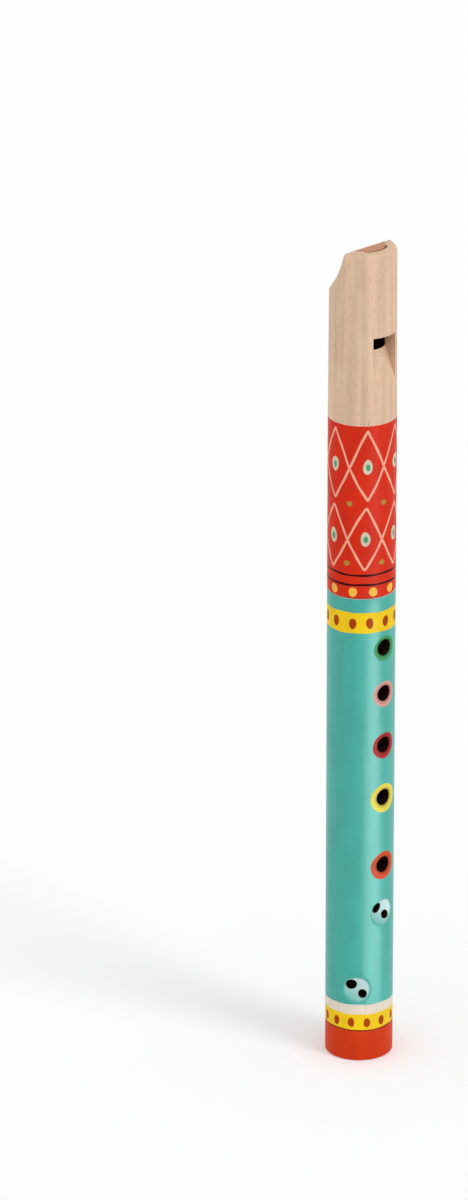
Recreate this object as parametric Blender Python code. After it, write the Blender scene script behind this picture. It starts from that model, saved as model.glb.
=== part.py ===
"""A two-joint wooden soprano recorder, standing on its foot.

Metres, +Z up along the bore. The front, with the window and the finger holes,
faces -Y, and the thumb hole faces +Y. The origin is the middle of the foot face.
"""

import math

import bmesh
import bpy
from mathutils import Matrix, Vector

MM = 0.001

# Clearance between pieces that seat on each other
FIT = 0.3 * MM

# Body joint, heights measured from the foot face
BODY_LENGTH = 186.4 * MM
OUTER_RADIUS = 12.75 * MM
FOOT_ROUNDING = 0.9 * MM
SEAM_ROUNDING = 0.35 * MM
BORE_AT_TENON = 7.4 * MM
BORE_AT_FOOT = 5.6 * MM
BORE_CHAMFER = 0.5 * MM

# Tenon, with the groove that holds the cork
TENON_LENGTH = 22.0 * MM
TENON_RADIUS = 10.3 * MM
TENON_CHAMFER = 0.6 * MM
GROOVE_DEPTH = 0.9 * MM
LOWER_LAND = 3.0 * MM
UPPER_LAND = 2.6 * MM
CORK_ROUNDING = 0.25 * MM
SOCKET_CLEARANCE = 0.4 * MM
SOCKET_END_PLAY = 0.7 * MM

# Finger holes of the front row, top hole first: height above the foot and diameter
FINGER_HOLES = (
    (166.0 * MM, 6.4 * MM),
    (147.8 * MM, 6.2 * MM),
    (127.2 * MM, 6.2 * MM),
    (106.1 * MM, 6.4 * MM),
    (78.9 * MM, 6.2 * MM),
)
THUMB_HOLE_HEIGHT = 169.0 * MM
THUMB_HOLE_DIAMETER = 5.8 * MM
UNDERCUT = math.radians(5.0)

# Twin holes for the two lowest fingers: height above the foot and angle from the front
TWIN_HOLES = (
    (59.5 * MM, math.radians(0.0)),
    (29.0 * MM, math.radians(-48.0)),
)
TWIN_LARGE_DIAMETER = 4.2 * MM
TWIN_SMALL_DIAMETER = 3.3 * MM
TWIN_SPACING = 5.6 * MM
TWIN_SLANT = math.radians(42.0)

# Dish that each pair of twin holes lies in, hollowed below its own side edges
DISH_WIDTH = 10.8 * MM
DISH_HEIGHT = 10.4 * MM
DISH_HOLLOW = 0.45 * MM
DISH_ROUND = 3.0 * MM

# Head joint, heights measured from its lower end
HEAD_LENGTH = 133.3 * MM
HEAD_TIP_RADIUS = 12.4 * MM
HEAD_TAPER_START = 67.5 * MM
HEAD_BORE_RADIUS = 8.0 * MM
TIP_ROUNDING = 2.3 * MM

# Window, labium and ramp
LABIUM_HEIGHT = 95.2 * MM
LABIUM_THICKNESS = 0.35 * MM
WINDOW_WIDTH = 11.0 * MM
WINDOW_CUT_UP = 5.9 * MM
RAMP_LENGTH = 11.2 * MM

# Windway, whose floor is the block and whose roof is cut into the head
WINDWAY_EXIT_RISE = 1.05 * MM
WINDWAY_ENTRY_RISE = 1.4 * MM
WINDWAY_CHAMFER = 0.45 * MM

# Beak, a concave cut at the back, drawn in the plane of the bore
BEAK_TIP_THICKNESS = 10.2 * MM
BEAK_CUT_LENGTH = 18.4 * MM
BEAK_ARC_RADIUS = 22.8 * MM
BEAK_TIP_EDGE = 1.0 * MM
BEAK_HEEL_EDGE = 2.5 * MM

ROUND_SIDES = 72
HOLE_SIDES = 32
DISH_SIDES = 32
DISH_RINGS = 16
ARC_STEPS = 4
BEAK_STEPS = 12
OVERCUT = 2.0 * MM
SHARP_ANGLE = math.radians(30.0)

BEECH = ("beech", (0.72, 0.50, 0.34), 0.55)
TURQUOISE_PAINT = ("turquoise_paint", (0.08, 0.45, 0.38), 0.35)
CEDAR = ("cedar", (0.45, 0.22, 0.12), 0.7)
CORK = ("cork", (0.50, 0.32, 0.18), 0.9)


def clear_scene():
    """Remove whatever the file opened with."""
    for obj in list(bpy.data.objects):
        bpy.data.objects.remove(obj, do_unlink=True)


def empty(name, height, parent=None):
    """A plain axes marker on the bore's axis."""
    made = bpy.data.objects.new(name, None)
    made.location.z = height
    made.parent = parent
    bpy.context.scene.collection.objects.link(made)
    return made


def material(name, colour, roughness):
    """A Principled material of one colour, for wood, paint or cork."""
    made = bpy.data.materials.new(name)
    made.use_nodes = True
    shader = made.node_tree.nodes["Principled BSDF"]
    shader.inputs["Base Color"].default_value = (*colour, 1.0)
    shader.inputs["Roughness"].default_value = roughness
    shader.inputs["Metallic"].default_value = 0.0
    return made


def mesh_of(name, shape):
    """Turn a finished bmesh into a mesh whose faces point outwards."""
    bmesh.ops.recalc_face_normals(shape, faces=shape.faces)
    mesh = bpy.data.meshes.new(name)
    shape.to_mesh(mesh)
    shape.free()
    return mesh


def add_piece(name, mesh, finish, parent):
    """Link a sub-part under its parent, with its own material and smooth sides."""
    mesh.materials.append(material(*finish))
    mesh.shade_smooth()
    mesh.set_sharp_from_angle(angle=SHARP_ANGLE)
    piece = bpy.data.objects.new(name, mesh)
    piece.parent = parent
    bpy.context.scene.collection.objects.link(piece)
    return piece


def add_cutter(name, mesh, parent):
    """Link a shape that only cuts others, and shows as a wire."""
    cutter = bpy.data.objects.new(name, mesh)
    cutter.parent = parent
    cutter.hide_render = True
    cutter.display_type = "WIRE"
    bpy.context.scene.collection.objects.link(cutter)
    return cutter


def cut(piece, cutter):
    """Take the cutter's shape out of the piece."""
    modifier = piece.modifiers.new(cutter.name, "BOOLEAN")
    modifier.operation = "DIFFERENCE"
    modifier.solver = "EXACT"
    modifier.object = cutter


def arc(centre, radius, start, end, steps=ARC_STEPS):
    """Points of a circular arc in a plane, both ends included, angles in degrees."""
    points = []
    for i in range(steps + 1):
        angle = math.radians(start + (end - start) * i / steps)
        points.append((centre[0] + radius * math.cos(angle), centre[1] + radius * math.sin(angle)))
    return points


def turned(name, profile, closed=True):
    """Turn a (radius, height) profile about the bore's axis. An open one ends on the axis."""
    shape = bmesh.new()
    points = [shape.verts.new((radius, 0.0, height)) for radius, height in profile]
    for first, second in zip(points, points[1:]):
        shape.edges.new((first, second))
    if closed:
        shape.edges.new((points[-1], points[0]))
    bmesh.ops.spin(
        shape,
        geom=shape.verts[:] + shape.edges[:],
        cent=(0.0, 0.0, 0.0),
        axis=(0.0, 0.0, 1.0),
        angle=math.tau,
        steps=ROUND_SIDES,
        use_merge=True,
    )
    bmesh.ops.remove_doubles(shape, verts=shape.verts, dist=0.001 * MM)
    return mesh_of(name, shape)


def across_prism(name, outline, half_width):
    """Extrude a (y, z) outline across the instrument, centred on its middle plane."""
    shape = bmesh.new()
    face = shape.faces.new([shape.verts.new((-half_width, y, z)) for y, z in outline])
    pushed = bmesh.ops.extrude_face_region(shape, geom=[face])
    moved = [item for item in pushed["geom"] if isinstance(item, bmesh.types.BMVert)]
    bmesh.ops.translate(shape, verts=moved, vec=(2 * half_width, 0.0, 0.0))
    return mesh_of(name, shape)


def slot_loft(name, sections, far_side):
    """Loft a slot of the window's width up through (radius, height, y of the far side) sections.

    One side of each section is an arc about the bore's axis, and the other is flat.
    """
    half_width = WINDOW_WIDTH / 2
    columns = 2 * ARC_STEPS
    across = [half_width * (2 * i / columns - 1) for i in range(columns + 1)]
    shape = bmesh.new()
    rings = []
    for radius, height in sections:
        ring = [shape.verts.new((x, -math.sqrt(radius**2 - x**2), height)) for x in across]
        ring.append(shape.verts.new((half_width, far_side, height)))
        ring.append(shape.verts.new((-half_width, far_side, height)))
        rings.append(ring)
    for lower, upper in zip(rings, rings[1:]):
        for i in range(len(lower)):
            shape.faces.new((lower[i - 1], lower[i], upper[i], upper[i - 1]))
    shape.faces.new(rings[0])
    shape.faces.new(rings[-1])
    return mesh_of(name, shape)


def radial_frame(angle, height):
    """Frame at a height on the axis: Z points outwards at an angle from the front, Y up."""
    outwards = Vector((math.sin(angle), -math.cos(angle), 0.0))
    upwards = Vector((0.0, 0.0, 1.0))
    sideways = upwards.cross(outwards)
    turn = Matrix((sideways, upwards, outwards)).transposed().to_4x4()
    return Matrix.Translation((0.0, 0.0, height)) @ turn


def bore_radius(height):
    """Radius of the body joint's bore, which narrows evenly towards the foot."""
    share = height / (BODY_LENGTH + TENON_LENGTH)
    return BORE_AT_FOOT + (BORE_AT_TENON - BORE_AT_FOOT) * share


def drill(body, name, angle, height, diameter, aside=0.0, undercut=UNDERCUT):
    """Drill through the near wall: true to its diameter outside, and undercut towards the bore.

    The drill runs parallel to the radius at its angle, and aside moves it across.
    """
    inner = bore_radius(height) / 2
    outer = OUTER_RADIUS + OVERCUT
    spread = math.tan(undercut)
    shape = bmesh.new()
    bmesh.ops.create_cone(
        shape,
        cap_ends=True,
        segments=HOLE_SIDES,
        radius1=diameter / 2 + (OUTER_RADIUS - inner) * spread,
        radius2=diameter / 2 - OVERCUT * spread,
        depth=outer - inner,
        matrix=Matrix.Translation((0.0, 0.0, (outer + inner) / 2)),
    )
    cutter = add_cutter(name, mesh_of(name, shape), body)
    cutter.matrix_local = radial_frame(angle, height) @ Matrix.Translation((aside, 0.0, 0.0))
    cut(body, cutter)


def dish(body, name, angle, height):
    """Hollow a shallow oval dish for a finger, with an ellipsoid whose edge keeps the dish's size."""
    side_drop = OUTER_RADIUS - math.sqrt(OUTER_RADIUS**2 - (DISH_WIDTH / 2) ** 2)
    depth = side_drop + DISH_HOLLOW
    across = DISH_WIDTH / 2 / math.sqrt(1 - (1 - DISH_HOLLOW / DISH_ROUND) ** 2)
    upwards = DISH_HEIGHT / 2 / math.sqrt(1 - (1 - depth / DISH_ROUND) ** 2)
    place = Matrix.Translation((0.0, 0.0, OUTER_RADIUS - depth + DISH_ROUND))
    shape = bmesh.new()
    bmesh.ops.create_uvsphere(
        shape,
        u_segments=DISH_SIDES,
        v_segments=DISH_RINGS,
        radius=1.0,
        matrix=place @ Matrix.Diagonal((across, upwards, DISH_ROUND, 1.0)),
    )
    cutter = add_cutter(name, mesh_of(name, shape), body)
    cutter.matrix_local = radial_frame(angle, height)
    cut(body, cutter)


def build_body_joint(parent):
    """The long lower joint: tube, tenon, finger holes, thumb hole and twin holes."""
    top = BODY_LENGTH + TENON_LENGTH
    groove_radius = TENON_RADIUS - GROOVE_DEPTH
    seam_round = arc((OUTER_RADIUS - SEAM_ROUNDING, BODY_LENGTH - SEAM_ROUNDING), SEAM_ROUNDING, 90, 0, 2)
    foot_round = arc((OUTER_RADIUS - FOOT_ROUNDING, FOOT_ROUNDING), FOOT_ROUNDING, 0, -90)
    profile = [
        (bore_radius(top), top),
        (TENON_RADIUS - TENON_CHAMFER, top),
        (TENON_RADIUS, top - TENON_CHAMFER),
        (TENON_RADIUS, top - UPPER_LAND),
        (groove_radius, top - UPPER_LAND),
        (groove_radius, BODY_LENGTH + LOWER_LAND),
        (TENON_RADIUS, BODY_LENGTH + LOWER_LAND),
        (TENON_RADIUS, BODY_LENGTH),
        *seam_round,
        *foot_round,
        (bore_radius(0.0) + BORE_CHAMFER, 0.0),
        (bore_radius(BORE_CHAMFER), BORE_CHAMFER),
    ]
    body = add_piece("body_joint", turned("body_joint", profile), TURQUOISE_PAINT, parent)
    for number, (height, angle) in enumerate(TWIN_HOLES, start=6):
        dish(body, f"dish_{number}", angle, height)
        shift = TWIN_SPACING / 2 * math.cos(TWIN_SLANT)
        rise = TWIN_SPACING / 2 * math.sin(TWIN_SLANT)
        drill(body, f"hole_{number}_large", angle, height + rise, TWIN_LARGE_DIAMETER, -shift, 0.0)
        drill(body, f"hole_{number}_small", angle, height - rise, TWIN_SMALL_DIAMETER, shift, 0.0)
    for number, (height, diameter) in enumerate(FINGER_HOLES, start=1):
        drill(body, f"hole_{number}", 0.0, height, diameter)
    drill(body, "thumb_hole", math.pi, THUMB_HOLE_HEIGHT, THUMB_HOLE_DIAMETER)
    return body


def build_tenon_cork(parent):
    """The cork lapped into the tenon's groove, standing proud of it to grip the socket."""
    inner = TENON_RADIUS - GROOVE_DEPTH + FIT
    outer = TENON_RADIUS + SOCKET_CLEARANCE - FIT
    bottom = LOWER_LAND + FIT
    top = TENON_LENGTH - UPPER_LAND - FIT
    profile = [
        (inner, top),
        *arc((outer - CORK_ROUNDING, top - CORK_ROUNDING), CORK_ROUNDING, 90, 0, 2),
        *arc((outer - CORK_ROUNDING, bottom + CORK_ROUNDING), CORK_ROUNDING, 0, -90, 2),
        (inner, bottom),
    ]
    return add_piece("tenon_cork", turned("tenon_cork", profile), CORK, parent)


def beak_outline():
    """Outline of what the beak's cut takes away, from the tip's back edge down to the heel.

    The main arc curves into the wood. A small round at each end eases the tip's
    back edge and the heel, and each is tangent to the main arc from outside it.
    """
    tip_back = BEAK_TIP_THICKNESS - HEAD_TIP_RADIUS
    heel_height = HEAD_LENGTH - BEAK_CUT_LENGTH
    chord = Vector((HEAD_TIP_RADIUS - tip_back, heel_height - HEAD_LENGTH))
    middle = Vector((tip_back, HEAD_LENGTH)) + chord / 2
    away = Vector((-chord.y, chord.x)).normalized()
    centre = middle + away * math.sqrt(BEAK_ARC_RADIUS**2 - (chord.length / 2) ** 2)
    tip_reach = BEAK_ARC_RADIUS + BEAK_TIP_EDGE
    tip_centre_z = HEAD_LENGTH - BEAK_TIP_EDGE
    tip_centre_y = centre.x - math.sqrt(tip_reach**2 - (tip_centre_z - centre.y) ** 2)
    heel_reach = BEAK_ARC_RADIUS + BEAK_HEEL_EDGE
    heel_centre_y = HEAD_TIP_RADIUS - BEAK_HEEL_EDGE
    heel_centre_z = centre.y - math.sqrt(heel_reach**2 - (heel_centre_y - centre.x) ** 2)
    to_tip = math.degrees(math.atan2(tip_centre_z - centre.y, tip_centre_y - centre.x)) % 360
    to_heel = math.degrees(math.atan2(heel_centre_z - centre.y, heel_centre_y - centre.x)) % 360
    far = OUTER_RADIUS + OVERCUT
    return [
        (tip_centre_y, HEAD_LENGTH + OVERCUT),
        *arc((tip_centre_y, tip_centre_z), BEAK_TIP_EDGE, 90, to_tip - 180),
        *arc(centre, BEAK_ARC_RADIUS, to_tip, to_heel, BEAK_STEPS)[1:-1],
        *arc((heel_centre_y, heel_centre_z), BEAK_HEEL_EDGE, to_heel - 180, 0),
        (far, heel_centre_z),
        (far, HEAD_LENGTH + OVERCUT),
    ]


def build_head_joint(parent):
    """The upper joint: socket, bore, window with its ramp, windway roof and beak."""
    socket_radius = TENON_RADIUS + SOCKET_CLEARANCE
    socket_depth = TENON_LENGTH + SOCKET_END_PLAY
    tip_round = arc((HEAD_TIP_RADIUS - TIP_ROUNDING, HEAD_LENGTH - TIP_ROUNDING), TIP_ROUNDING, 90, 0)
    seam_round = arc((OUTER_RADIUS - SEAM_ROUNDING, SEAM_ROUNDING), SEAM_ROUNDING, 0, -90, 2)
    profile = [
        (HEAD_BORE_RADIUS, HEAD_LENGTH),
        *tip_round,
        (OUTER_RADIUS, HEAD_TAPER_START),
        *seam_round,
        (socket_radius + SEAM_ROUNDING, 0.0),
        (socket_radius, SEAM_ROUNDING),
        (socket_radius, socket_depth),
        (HEAD_BORE_RADIUS, socket_depth),
    ]
    head = add_piece("head_joint", turned("head_joint", profile), BEECH, parent)
    cut(head, add_cutter("windway", windway_mesh(), head))
    cut(head, add_cutter("window", window_mesh(), head))
    cut(head, add_cutter("ramp", ramp_mesh(), head))
    return head


def window_mesh():
    """The opening above the labium, through the whole wall."""
    bottom = LABIUM_HEIGHT
    top = LABIUM_HEIGHT + WINDOW_CUT_UP
    front = -OUTER_RADIUS - OVERCUT
    outline = [(front, bottom), (slot_far_side(), bottom), (slot_far_side(), top), (front, top)]
    return across_prism("window", outline, WINDOW_WIDTH / 2)


def slot_far_side():
    """Where the window and windway cutters end, inside the bore at the slot's full width."""
    return -math.sqrt(HEAD_BORE_RADIUS**2 - (WINDOW_WIDTH / 2) ** 2) / 2


def windway_mesh():
    """The air channel's roof, which falls towards the window and flares at its exit."""
    floor = HEAD_BORE_RADIUS - FIT
    exit_height = LABIUM_HEIGHT + WINDOW_CUT_UP
    exit_radius = floor + WINDWAY_EXIT_RISE
    sections = [
        (exit_radius + 2 * WINDWAY_CHAMFER, exit_height - WINDWAY_CHAMFER),
        (exit_radius, exit_height + WINDWAY_CHAMFER),
        (floor + WINDWAY_ENTRY_RISE, HEAD_LENGTH + OVERCUT),
    ]
    return slot_loft("windway", sections, slot_far_side())


def ramp_mesh():
    """The ramp's cone, from the labium's edge out to the tube's surface."""
    edge_radius = HEAD_BORE_RADIUS + LABIUM_THICKNESS
    slope = (OUTER_RADIUS - edge_radius) / RAMP_LENGTH
    foot_height = LABIUM_HEIGHT - RAMP_LENGTH - OVERCUT
    sections = [
        (OUTER_RADIUS + slope * OVERCUT, foot_height),
        (edge_radius - slope * OVERCUT / 4, LABIUM_HEIGHT + OVERCUT / 4),
    ]
    return slot_loft("ramp", sections, -OUTER_RADIUS - 2 * OVERCUT)


def build_block(parent):
    """The plug that closes the head's bore, with the windway running over it."""
    radius = HEAD_BORE_RADIUS - FIT
    bottom = LABIUM_HEIGHT + WINDOW_CUT_UP
    profile = [(0.0, HEAD_LENGTH), (radius, HEAD_LENGTH), (radius, bottom), (0.0, bottom)]
    block = add_piece("block", turned("block", profile, closed=False), CEDAR, parent)
    front = -radius - OVERCUT
    chamfer = [
        (front, bottom - OVERCUT),
        (-radius + WINDWAY_CHAMFER + OVERCUT, bottom - OVERCUT),
        (-radius + WINDWAY_CHAMFER, bottom),
        (-radius, bottom + WINDWAY_CHAMFER),
        (front, bottom + WINDWAY_CHAMFER + OVERCUT),
    ]
    cut(block, add_cutter("block_chamfer", across_prism("block_chamfer", chamfer, WINDOW_WIDTH / 2), block))
    return block


def main():
    clear_scene()
    recorder = empty("recorder", 0.0)
    tenon = empty("tenon", BODY_LENGTH, recorder)
    head = empty("head", BODY_LENGTH + FIT, recorder)
    build_body_joint(recorder)
    build_tenon_cork(tenon)
    head_joint = build_head_joint(head)
    block = build_block(head)
    beak = add_cutter("beak", across_prism("beak", beak_outline(), OUTER_RADIUS + OVERCUT), head)
    cut(head_joint, beak)
    cut(block, beak)


main()
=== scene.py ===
"""The finish of a wooden soprano recorder: painted joints, bare beech head, cedar block and cork.

Metres, in the solids' own frame: the recorder stands on its foot, its front faces -Y.
"""

import math
from collections import namedtuple

import bmesh
import bpy
import numpy as np
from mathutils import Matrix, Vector


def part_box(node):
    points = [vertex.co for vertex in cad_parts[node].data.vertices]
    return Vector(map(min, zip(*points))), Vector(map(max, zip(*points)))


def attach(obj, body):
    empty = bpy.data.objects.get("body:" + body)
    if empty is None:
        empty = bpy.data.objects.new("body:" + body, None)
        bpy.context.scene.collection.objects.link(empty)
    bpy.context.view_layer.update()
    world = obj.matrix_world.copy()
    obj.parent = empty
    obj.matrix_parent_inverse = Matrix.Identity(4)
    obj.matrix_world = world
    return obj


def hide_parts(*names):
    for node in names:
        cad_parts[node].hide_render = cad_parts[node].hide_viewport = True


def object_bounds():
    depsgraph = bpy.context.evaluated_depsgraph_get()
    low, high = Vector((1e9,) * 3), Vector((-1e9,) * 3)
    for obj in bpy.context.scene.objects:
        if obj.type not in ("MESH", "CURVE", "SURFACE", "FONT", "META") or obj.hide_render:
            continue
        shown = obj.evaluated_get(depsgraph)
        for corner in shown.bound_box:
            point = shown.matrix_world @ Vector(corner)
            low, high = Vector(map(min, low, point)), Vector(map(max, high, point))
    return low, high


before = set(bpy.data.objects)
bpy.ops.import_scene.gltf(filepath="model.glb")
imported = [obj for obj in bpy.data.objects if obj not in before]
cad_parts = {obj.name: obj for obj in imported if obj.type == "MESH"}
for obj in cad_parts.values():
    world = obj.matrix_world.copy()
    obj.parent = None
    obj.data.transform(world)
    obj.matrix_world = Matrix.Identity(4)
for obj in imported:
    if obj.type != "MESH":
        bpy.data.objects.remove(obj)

bl_info = {
    "name": "Painted Recorder",
    "version": (1, 0, 0),
    "blender": (4, 5, 0),
    "location": "View3D > Sidebar > Recorder",
    "description": "Finishes a wooden soprano recorder with beech, painted bands, lattice and rings",
    "category": "Add Mesh",
}

MM = 0.001
CAD_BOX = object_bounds()
HEIGHT = CAD_BOX[1].z

# Paint stands this proud of the turned tube, a second coat this many times as far, and the underside of
# a painted mark is sunk in the wood
PAINT_RISE = 0.05 * MM
SECOND_COAT = 1.6
PAINT_SUNK = -3 * PAINT_RISE
TUBE = CAD_BOX[1].x - SECOND_COAT * PAINT_RISE

# Body joint, heights from the foot
BODY_TOP = 186.4 * MM
TENON_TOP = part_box("body_joint")[1].z
TENON = 10.3 * MM
TENON_CHAMFER = 0.6 * MM
GROOVE = 9.4 * MM
GROOVE_ENDS = (189.4 * MM, 205.8 * MM)
FOOT_ROUNDING = 0.9 * MM
SEAM_ROUNDING = 0.35 * MM
BORE_ENDS = (5.6 * MM, 7.4 * MM)
BORE_CHAMFER = 0.5 * MM

# Cork: a little clear of the groove's floor and ends, and proud of the tenon
CORK_GAP = 0.05 * MM
CORK_PROUD = 0.1 * MM
CORK_ROUNDING = 0.3 * MM
CORK_COLUMNS = 144

# Finger holes of the front row, in millimetres: height, radius, and the painted ring's colour and radius
FINGER_HOLES = (
    (166.0, 3.2, "green", 5.1),
    (147.8, 3.1, "pink", 5.2),
    (127.2, 3.1, "crimson", 5.3),
    (106.1, 3.2, "lemon", 6.0),
    (78.9, 3.1, "orange", 5.8),
)
FINGER_REACH = 4.9 * MM
THUMB_HOLE = (169.0, 2.9)
THUMB_REACH = 3.8 * MM
HOLE_COLUMNS = (-12, 12)
HOLE_EDGE = 0.32 * MM
UNDERCUT = math.tan(math.radians(5.0))

# Twin holes, as height in millimetres and angle from the front, each pair in its dish
TWIN_HOLES = ((59.5, 0.0), (29.0, -48.0))
TWIN_REACH = 5.6 * MM
TWIN_SHIFT = 2.08 * MM
TWIN_DROP = 1.87 * MM
TWIN_EDGE = 0.2 * MM
DISH_WIDTH = 10.8 * MM
DISH_HEIGHT = 10.4 * MM
DISH_HOLLOW = 0.45 * MM
DISH_ROUND = 3.0 * MM
DISH_EASE = 0.3 * MM

# The two holes of a pair: side, radius in millimetres, and columns of the grid
TWINS = ((-1, 2.1, (-15, 1)), (1, 1.65, (1, 15)))

# Columns round the body's outside, half as many round its bore, and the rows, which are closer at the holes
COLUMN = math.radians(1.875)
COLUMNS = 192
FIRST_COLUMN = -64
ROW = 3.0 * MM
FINE_ROW = 0.56 * MM

# Steps of a hole: over the outside, round its rim, down its wall and over the bore
OUTER_STEPS, RIM_STEPS, DEPTH_STEPS, INNER_STEPS = 9, 4, 6, 5

# Head joint
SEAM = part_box("head_joint")[0].z
HEAD_BORE = 8.0 * MM
SOCKET = 10.7 * MM
SOCKET_END = 209.4 * MM
TIP_TAPER = 0.35 * MM
TIP_ROUNDING = 2.3 * MM
BARE_FROM = 254.2 * MM
RAMP_FOOT = 270.7 * MM
LABIUM = 281.9 * MM
WINDOW_TOP = 287.8 * MM
WINDOW_HALF = 5.5 * MM
LABIUM_RADIUS = 8.35 * MM
ROOF_FLARE = 0.45 * MM
ROOF_FLARED = 9.2 * MM
ROOF_EXIT = 8.75 * MM
ROOF_ENTRY = 9.08 * MM
BLOCK_RADIUS = 7.94 * MM

# Beak: its flat tip and the arc of its concave cut, with the small rounds at the cut's two ends
TIP_RADIUS = 12.4 * MM
CREST = -2.2 * MM
BEAK_CUT_LENGTH = 18.4 * MM
BEAK_ARC = 22.8 * MM
BEAK_TIP_EDGE = 1.0 * MM
BEAK_HEEL_EDGE = 2.5 * MM
BEAK_SIDE_EDGE = 0.8 * MM

# Steps of the tip's edge, the arc and the heel's edge, and of the top's soft edge and its flat rim
BEAK_STEPS = (12, 96, 24)
TOP_STEPS = (6, 6)

# The tip's rounding fades to that of the cut's sides over this angle, from a little before the crest
FADE_START = -0.14
FADE_ANGLE = 0.23

# The head's columns: across the window, from it to the beak's crest, and round the back
WINDOW_COLUMNS, SIDE_COLUMNS, BACK_COLUMNS = 32, 28, 104

# Rows of the head's grids, and steps through its wall below the windway's roof and above it
BORE_ROWS, RAMP_ROWS, WINDOW_ROWS, WINDWAY_ROWS, BEAK_ROWS = 16, 21, 11, 24, 26
LIP_STEPS, WALL_STEPS = 5, 11

# Points of the block's grids: from front to back, across it and up its sides
BLOCK_DEPTH, BLOCK_ACROSS, BLOCK_UP = 61, 33, 17

# Painted bands: colour and upper edge in millimetres, from the foot up
BODY_BANDS = (
    ("foot_red", 12.3),
    ("rim_brown", 12.8),
    ("yellow", 19.1),
    ("cream", 23.0),
    ("turquoise", 172.8),
    ("yellow", 180.9),
    ("turquoise", 186.2),
    ("cream", BODY_TOP / MM),
)
HEAD_BANDS = (
    ("red", 191.5),
    ("dark_red", 192.3),
    ("red", 195.4),
    ("dark_red", 196.2),
    ("red", BARE_FROM / MM),
)

# The bands' edges waver by this much, and draw the rows along that lie within this many millimetres of them
WAVER = 0.09 * MM
WAVER_REACH = 0.7

# A mark is drawn this much wider than it shows, so that its edge dips under the tube
OVERDRAWN = 1.18

# Points of an oval, a brush line and a ring: along the edge or the line, and from the middle or across
OVAL_GRID = (33, 7)
LINE_GRID = (25, 7)
RING_GRID = (97, 9)

# Uneven edges of an oval and a ring: waves round the edge, and their height as a share of its radius
OVAL_WAVES = ((2, 0.035), (3, 0.03))
RING_WAVES = ((2, 0.012), (5, 0.01))

# A brush line's ends and path stray by this much, its width swells by this share, and it is rounded off
# over this share of its width, to an end whose width is the root of the last share
END_STRAY = 0.15 * MM
SWAY = 0.05 * MM
SWELL = 0.1
ROUNDED_OFF = 0.7
BLUNT_END = 0.25

# A painted ring starts this far inside the hole's softened edge. Its outer edge is off centre by this much,
# across and up.
RING_OVERLAP = 0.03 * MM
RING_SHIFT = (0.15 * MM, -0.35 * MM)

# Lattice: two rows of lozenges, and the first one's top, side and bottom corner in degrees and millimetres
LOZENGES = 6
LATTICE = (
    ((-34.5, 252.4), (-5.0, 237.6), (-34.0, 224.9)),
    ((-36.0, 222.4), (-8.5, 209.4), (-39.0, 197.6)),
)
LATTICE_BOW = 0.22 * MM

# Half width and half height of the lattice's marks, where the ovals sit in a lozenge, and the dots' heights
# and how far round the tube they stray
PALE_OVAL = (1.75 * MM, 2.9 * MM)
GREEN_OVAL = (1.0 * MM, 1.65 * MM)
GREEN_TURN = 0.01
GREEN_DROP = 0.1 * MM
OLIVE_DOT = (1.15 * MM, 1.0 * MM)
OVAL_ABOVE_SIDE = 0.6 * MM
OLIVE_HEIGHTS = (223.7 * MM, 200.3 * MM)
OLIVE_STRAY = 0.02

# Amber dots at the seam, and ovals on both yellow bands: count, first angle, height and the ovals' halves
AMBER_DOTS = (10, -23.0, 189.1)
BAND_OVALS = ((12, 1.0, 176.7, 1.4, 2.15), (13, -2.0, 15.7, 1.25, 1.95))

# A dot is this much higher than wide. Dots stray by this many degrees, ovals by degrees and millimetres.
DOT_TALLER = 1.1
DOT_STRAY = 1.0
OVAL_STRAY = (1.2, 0.15)

# Spots of painted light: a pale painted highlight in each twin-hole dish, stronger at its upper side, and
# painted shade on each finger-hole ring near its hole. Outer and inner radius in millimetres, and their share
# at the low and high side
DISH_HIGHLIGHT = (5.5, 4.3, 0.1, 1.15)
RING_SHADE_SPOT = (4.25, 3.95, 0.85, 0.85)
# How much darker the painted shade makes a ring near its hole
RING_SHADE = -0.34

# Roughness and specular level of the body's enamel and of the other paints
ENAMEL = (0.36, 0.5)
MATT_PAINT = (0.38, 0.07)

# Points closer than this are one, and a turn by more than this is an edge
WELD = 0.002 * MM
EDGE_ANGLE = math.radians(35.0)


def linear(red, green, blue):
    """A colour's linear values from its 8-bit display values."""
    share = np.array((red, green, blue)) / 255
    return tuple(np.where(share <= 0.04045, share / 12.92, ((share + 0.055) / 1.055) ** 2.4))


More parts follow.
